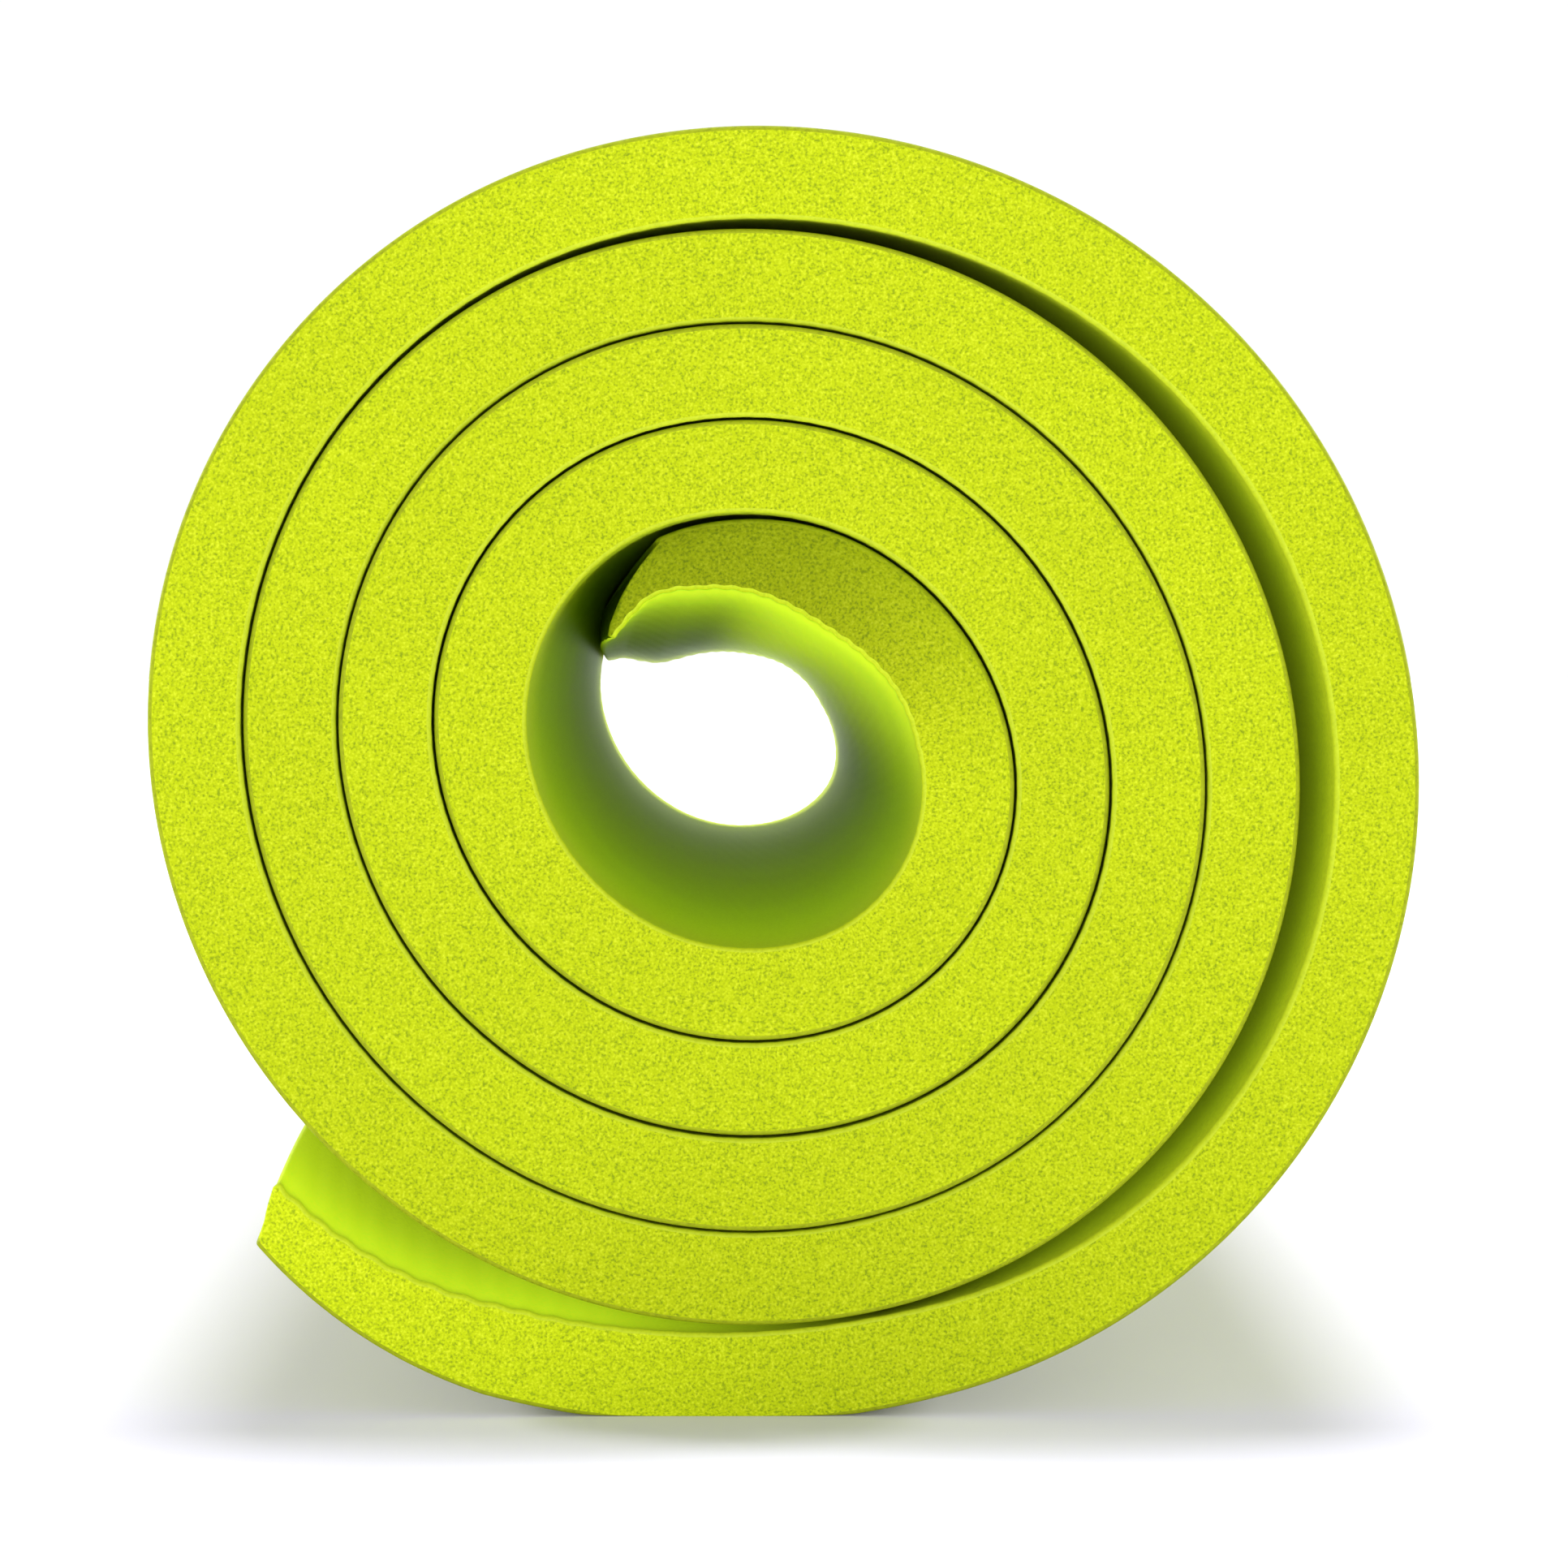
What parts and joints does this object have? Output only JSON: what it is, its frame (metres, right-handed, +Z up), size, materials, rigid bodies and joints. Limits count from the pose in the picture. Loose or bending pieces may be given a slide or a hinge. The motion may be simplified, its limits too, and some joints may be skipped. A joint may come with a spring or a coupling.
{
  "type": "rolled foam exercise mat",
  "caption": "Thick foam exercise mat, rolled up, that rests on its side and unrolls flat along hinge lines between its lengths.",
  "frame": {"origin": "on the floor, under the middle of the rolled mat's box", "axes": "+Y along the roll's axis, away from the front end; +X to the right as seen from the front; +Z up"},
  "size_m": [0.2002, 0.61, 0.2034],
  "materials": {
    "foam": "matte closed-cell foam with a fine ribbed skin and a speckled cut edge"
  },
  "bodies": {
    "inner_end": {"inner_end": "foam"},
    "length_01": {"length_01": "foam"},
    "length_02": {"length_02": "foam"},
    "length_03": {"length_03": "foam"},
    "length_04": {"length_04": "foam"},
    "length_05": {"length_05": "foam"},
    "length_06": {"length_06": "foam"},
    "length_07": {"length_07": "foam"},
    "length_08": {"length_08": "foam"},
    "length_09": {"length_09": "foam"},
    "length_10": {"length_10": "foam"},
    "length_11": {"length_11": "foam"},
    "length_12": {"length_12": "foam"},
    "length_13": {"length_13": "foam"},
    "length_14": {"length_14": "foam"},
    "length_15": {"length_15": "foam"},
    "length_16": {"length_16": "foam"},
    "length_17": {"length_17": "foam"},
    "length_18": {"length_18": "foam"},
    "length_19": {"length_19": "foam"},
    "length_20": {"length_20": "foam"},
    "length_21": {"length_21": "foam"},
    "length_22": {"length_22": "foam"},
    "length_23": {"length_23": "foam"},
    "length_24": {"length_24": "foam"},
    "length_25": {"length_25": "foam"},
    "length_26": {"length_26": "foam"},
    "length_27": {"length_27": "foam"},
    "length_28": {"length_28": "foam"},
    "length_29": {"length_29": "foam"},
    "length_30": {"length_30": "foam"},
    "length_31": {"length_31": "foam"},
    "length_32": {"length_32": "foam"},
    "length_33": {"length_33": "foam"},
    "length_34": {"length_34": "foam"},
    "length_35": {"length_35": "foam"},
    "length_36": {"length_36": "foam"},
    "floor_length": {"floor_length": "foam"},
    "free_end_1": {"free_end_1": "foam"},
    "free_end_2": {"free_end_2": "foam"},
    "free_end_3": {"free_end_3": "foam"}
  },
  "joints": [
    {"name": "unroll", "type": "hinge", "parent": "floor_length", "child": "length_36", "pos_m": [0.02633, 0, 0.00347], "axis": [0, 1, 0], "range_deg": [0, 37.5]},
    {"name": "bend_length_35", "type": "hinge", "parent": "length_36", "child": "length_35", "pos_m": [0.08674, 0, 0.04983], "axis": [0, 1, 0], "range_deg": [0, 45]},
    {"name": "bend_length_34", "type": "hinge", "parent": "length_35", "child": "length_34", "pos_m": [0.09673, 0, 0.12567], "axis": [0, 1, 0], "range_deg": [0, 45]},
    {"name": "bend_length_33", "type": "hinge", "parent": "length_34", "child": "length_33", "pos_m": [0.04774, 0, 0.18951], "axis": [0, 1, 0], "range_deg": [0, 45]},
    {"name": "bend_length_32", "type": "hinge", "parent": "length_33", "child": "length_32", "pos_m": [-0.03076, 0, 0.19985], "axis": [0, 1, 0], "range_deg": [0, 45]},
    {"name": "bend_length_31", "type": "hinge", "parent": "length_32", "child": "length_31", "pos_m": [-0.08773, 0, 0.15613], "axis": [0, 1, 0], "range_deg": [0, 45]},
    {"name": "bend_length_30", "type": "hinge", "parent": "length_31", "child": "length_30", "pos_m": [-0.09698, 0, 0.0859], "axis": [0, 1, 0], "range_deg": [0, 45]},
    {"name": "bend_length_29", "type": "hinge", "parent": "length_30", "child": "length_29", "pos_m": [-0.05166, 0, 0.02684], "axis": [0, 1, 0], "range_deg": [0, 45]},
    {"name": "bend_length_28", "type": "hinge", "parent": "length_29", "child": "length_28", "pos_m": [0.01881, 0, 0.01756], "axis": [0, 1, 0], "range_deg": [0, 45]},
    {"name": "bend_length_27", "type": "hinge", "parent": "length_28", "child": "length_27", "pos_m": [0.06999, 0, 0.05684], "axis": [0, 1, 0], "range_deg": [0, 45]},
    {"name": "bend_length_26", "type": "hinge", "parent": "length_27", "child": "length_26", "pos_m": [0.07848, 0, 0.12129], "axis": [0, 1, 0], "range_deg": [0, 45]},
    {"name": "bend_length_25", "type": "hinge", "parent": "length_26", "child": "length_25", "pos_m": [0.03666, 0, 0.17579], "axis": [0, 1, 0], "range_deg": [0, 45]},
    {"name": "bend_length_24", "type": "hinge", "parent": "length_25", "child": "length_24", "pos_m": [-0.02812, 0, 0.18432], "axis": [0, 1, 0], "range_deg": [0, 45]},
    {"name": "bend_length_23", "type": "hinge", "parent": "length_24", "child": "length_23", "pos_m": [-0.07475, 0, 0.14854], "axis": [0, 1, 0], "range_deg": [0, 45]},
    {"name": "bend_length_22", "type": "hinge", "parent": "length_23", "child": "length_22", "pos_m": [-0.08248, 0, 0.08978], "axis": [0, 1, 0], "range_deg": [0, 45]},
    {"name": "bend_length_21", "type": "hinge", "parent": "length_22", "child": "length_21", "pos_m": [-0.04416, 0, 0.03984], "axis": [0, 1, 0], "range_deg": [0, 45]},
    {"name": "bend_length_20", "type": "hinge", "parent": "length_21", "child": "length_20", "pos_m": [0.01492, 0, 0.03206], "axis": [0, 1, 0], "range_deg": [0, 45]},
    {"name": "bend_length_19", "type": "hinge", "parent": "length_20", "child": "length_19", "pos_m": [0.05699, 0, 0.06434], "axis": [0, 1, 0], "range_deg": [0, 45]},
    {"name": "bend_length_18", "type": "hinge", "parent": "length_19", "child": "length_18", "pos_m": [0.06398, 0, 0.1174], "axis": [0, 1, 0], "range_deg": [0, 45]},
    {"name": "bend_length_17", "type": "hinge", "parent": "length_18", "child": "length_17", "pos_m": [0.02915, 0, 0.16279], "axis": [0, 1, 0], "range_deg": [0, 45]},
    {"name": "bend_length_16", "type": "hinge", "parent": "length_17", "child": "length_16", "pos_m": [-0.02423, 0, 0.16982], "axis": [0, 1, 0], "range_deg": [0, 45]},
    {"name": "bend_length_15", "type": "hinge", "parent": "length_16", "child": "length_15", "pos_m": [-0.06175, 0, 0.14103], "axis": [0, 1, 0], "range_deg": [0, 45]},
    {"name": "bend_length_14", "type": "hinge", "parent": "length_15", "child": "length_14", "pos_m": [-0.06798, 0, 0.09367], "axis": [0, 1, 0], "range_deg": [0, 45]},
    {"name": "bend_length_13", "type": "hinge", "parent": "length_14", "child": "length_13", "pos_m": [-0.03665, 0, 0.05284], "axis": [0, 1, 0], "range_deg": [0, 45]},
    {"name": "bend_length_12", "type": "hinge", "parent": "length_13", "child": "length_12", "pos_m": [0.01104, 0, 0.04656], "axis": [0, 1, 0], "range_deg": [0, 45]},
    {"name": "bend_length_11", "type": "hinge", "parent": "length_12", "child": "length_11", "pos_m": [0.04399, 0, 0.07185], "axis": [0, 1, 0], "range_deg": [0, 45]},
    {"name": "bend_length_10", "type": "hinge", "parent": "length_11", "child": "length_10", "pos_m": [0.04948, 0, 0.11352], "axis": [0, 1, 0], "range_deg": [0, 45]},
    {"name": "bend_length_09", "type": "hinge", "parent": "length_10", "child": "length_09", "pos_m": [0.02165, 0, 0.14979], "axis": [0, 1, 0], "range_deg": [0, 45]},
    {"name": "bend_length_08", "type": "hinge", "parent": "length_09", "child": "length_08", "pos_m": [-0.02035, 0, 0.15532], "axis": [0, 1, 0], "range_deg": [0, 45]},
    {"name": "bend_length_07", "type": "hinge", "parent": "length_08", "child": "length_07", "pos_m": [-0.04875, 0, 0.13353], "axis": [0, 1, 0], "range_deg": [0, 45]},
    {"name": "bend_length_06", "type": "hinge", "parent": "length_07", "child": "length_06", "pos_m": [-0.05348, 0, 0.09755], "axis": [0, 1, 0], "range_deg": [0, 45]},
    {"name": "bend_length_05", "type": "hinge", "parent": "length_06", "child": "length_05", "pos_m": [-0.02915, 0, 0.06584], "axis": [0, 1, 0], "range_deg": [0, 45]},
    {"name": "bend_length_04", "type": "hinge", "parent": "length_05", "child": "length_04", "pos_m": [0.00715, 0, 0.06106], "axis": [0, 1, 0], "range_deg": [0, 45]},
    {"name": "bend_length_03", "type": "hinge", "parent": "length_04", "child": "length_03", "pos_m": [0.031, 0, 0.07935], "axis": [0, 1, 0], "range_deg": [0, 45]},
    {"name": "bend_length_02", "type": "hinge", "parent": "length_03", "child": "length_02", "pos_m": [0.03498, 0, 0.10963], "axis": [0, 1, 0], "range_deg": [0, 45]},
    {"name": "bend_length_01", "type": "hinge", "parent": "length_02", "child": "length_01", "pos_m": [0.01414, 0, 0.13679], "axis": [0, 1, 0], "range_deg": [0, 45]},
    {"name": "bend_inner_end", "type": "hinge", "parent": "length_01", "child": "inner_end", "pos_m": [-0.01646, 0, 0.14082], "axis": [0, 1, 0], "range_deg": [0, 30.85]},
    {"name": "bend_free_end_1", "type": "hinge", "parent": "floor_length", "child": "free_end_1", "pos_m": [-0.04765, 0, 0.00347], "axis": [0, -1, 0], "range_deg": [0, 20.5]},
    {"name": "bend_free_end_2", "type": "hinge", "parent": "free_end_1", "child": "free_end_2", "pos_m": [-0.06186, 0, 0.00972], "axis": [0, -1, 0], "range_deg": [0, 11]},
    {"name": "bend_free_end_3", "type": "hinge", "parent": "free_end_2", "child": "free_end_3", "pos_m": [-0.07447, 0, 0.01848], "axis": [0, -1, 0], "range_deg": [0, 11]}
  ],
  "couplings": [
    {"joint": "bend_length_35", "follows": "unroll", "ratio": 1.2},
    {"joint": "bend_length_34", "follows": "unroll", "ratio": 1.2},
    {"joint": "bend_length_33", "follows": "unroll", "ratio": 1.2},
    {"joint": "bend_length_32", "follows": "unroll", "ratio": 1.2},
    {"joint": "bend_length_31", "follows": "unroll", "ratio": 1.2},
    {"joint": "bend_length_30", "follows": "unroll", "ratio": 1.2},
    {"joint": "bend_length_29", "follows": "unroll", "ratio": 1.2},
    {"joint": "bend_length_28", "follows": "unroll", "ratio": 1.2},
    {"joint": "bend_length_27", "follows": "unroll", "ratio": 1.2},
    {"joint": "bend_length_26", "follows": "unroll", "ratio": 1.2},
    {"joint": "bend_length_25", "follows": "unroll", "ratio": 1.2},
    {"joint": "bend_length_24", "follows": "unroll", "ratio": 1.2},
    {"joint": "bend_length_23", "follows": "unroll", "ratio": 1.2},
    {"joint": "bend_length_22", "follows": "unroll", "ratio": 1.2},
    {"joint": "bend_length_21", "follows": "unroll", "ratio": 1.2},
    {"joint": "bend_length_20", "follows": "unroll", "ratio": 1.2},
    {"joint": "bend_length_19", "follows": "unroll", "ratio": 1.2},
    {"joint": "bend_length_18", "follows": "unroll", "ratio": 1.2},
    {"joint": "bend_length_17", "follows": "unroll", "ratio": 1.2},
    {"joint": "bend_length_16", "follows": "unroll", "ratio": 1.2},
    {"joint": "bend_length_15", "follows": "unroll", "ratio": 1.2},
    {"joint": "bend_length_14", "follows": "unroll", "ratio": 1.2},
    {"joint": "bend_length_13", "follows": "unroll", "ratio": 1.2},
    {"joint": "bend_length_12", "follows": "unroll", "ratio": 1.2},
    {"joint": "bend_length_11", "follows": "unroll", "ratio": 1.2},
    {"joint": "bend_length_10", "follows": "unroll", "ratio": 1.2},
    {"joint": "bend_length_09", "follows": "unroll", "ratio": 1.2},
    {"joint": "bend_length_08", "follows": "unroll", "ratio": 1.2},
    {"joint": "bend_length_07", "follows": "unroll", "ratio": 1.2},
    {"joint": "bend_length_06", "follows": "unroll", "ratio": 1.2},
    {"joint": "bend_length_05", "follows": "unroll", "ratio": 1.2},
    {"joint": "bend_length_04", "follows": "unroll", "ratio": 1.2},
    {"joint": "bend_length_03", "follows": "unroll", "ratio": 1.2},
    {"joint": "bend_length_02", "follows": "unroll", "ratio": 1.2},
    {"joint": "bend_length_01", "follows": "unroll", "ratio": 1.2},
    {"joint": "bend_inner_end", "follows": "unroll", "ratio": 0.82267},
    {"joint": "bend_free_end_1", "follows": "unroll", "ratio": 0.54667},
    {"joint": "bend_free_end_2", "follows": "unroll", "ratio": 0.29333},
    {"joint": "bend_free_end_3", "follows": "unroll", "ratio": 0.29333}
  ]
}
